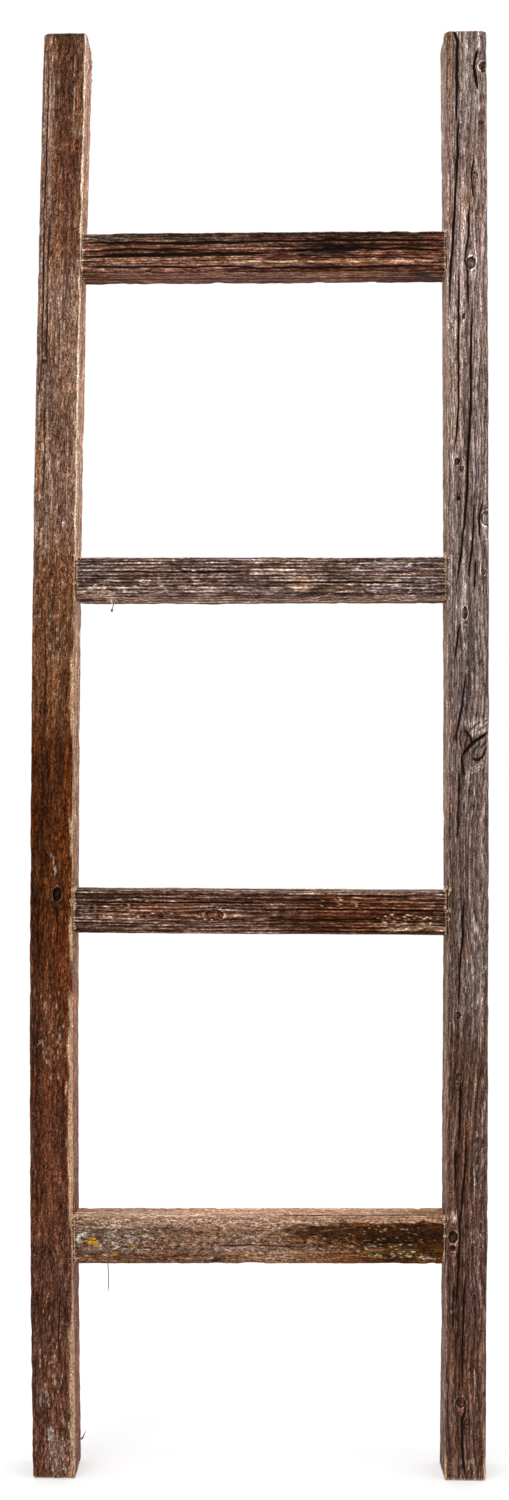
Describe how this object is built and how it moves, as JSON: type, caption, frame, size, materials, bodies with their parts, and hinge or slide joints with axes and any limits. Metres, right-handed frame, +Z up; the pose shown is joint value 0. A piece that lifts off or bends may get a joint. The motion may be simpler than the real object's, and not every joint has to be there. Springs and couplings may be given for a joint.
{
  "type": "blanket ladder",
  "caption": "Free-standing or leaning ladder-shaped rack of weathered reclaimed boards, with upright rails and level rungs that quilts and blankets hang over.",
  "frame": {"origin": "on the floor, at the middle of the ladder's outline", "axes": "+Z up along the rails, +X across the ladder to its right, -Y out of its front"},
  "size_m": [0.4834, 0.062, 1.524],
  "materials": {
    "left_rail_wood": "worn brown patina, pale worn arrises, matt",
    "right_rail_wood": "grey-brown weathered board with cracks and knots, matt",
    "top_rung_wood": "dark brown ridged grain, matt",
    "upper_rung_wood": "grey-brown raised grain, matt",
    "lower_rung_wood": "grey-brown raised grain with a knot, matt",
    "bottom_rung_wood": "tan and dark weathered wood with lichen, matt",
    "screw_steel": "dull, lightly rusted steel"
  },
  "bodies": {
    "root": {"left_rail": "left_rail_wood", "right_rail": "right_rail_wood", "top_rung": "top_rung_wood", "upper_rung": "upper_rung_wood", "lower_rung": "lower_rung_wood", "bottom_rung": "bottom_rung_wood", "bottom_rung_left_screw_upper": "screw_steel", "bottom_rung_left_screw_lower": "screw_steel", "bottom_rung_right_screw_upper": "screw_steel", "bottom_rung_right_screw_lower": "screw_steel", "lower_rung_left_screw_upper": "screw_steel", "lower_rung_left_screw_lower": "screw_steel", "lower_rung_right_screw_upper": "screw_steel", "lower_rung_right_screw_lower": "screw_steel", "upper_rung_left_screw_upper": "screw_steel", "upper_rung_left_screw_lower": "screw_steel", "upper_rung_right_screw_upper": "screw_steel", "upper_rung_right_screw_lower": "screw_steel", "top_rung_left_screw_upper": "screw_steel", "top_rung_left_screw_lower": "screw_steel", "top_rung_right_screw_upper": "screw_steel", "top_rung_right_screw_lower": "screw_steel"}
  },
  "joints": []
}
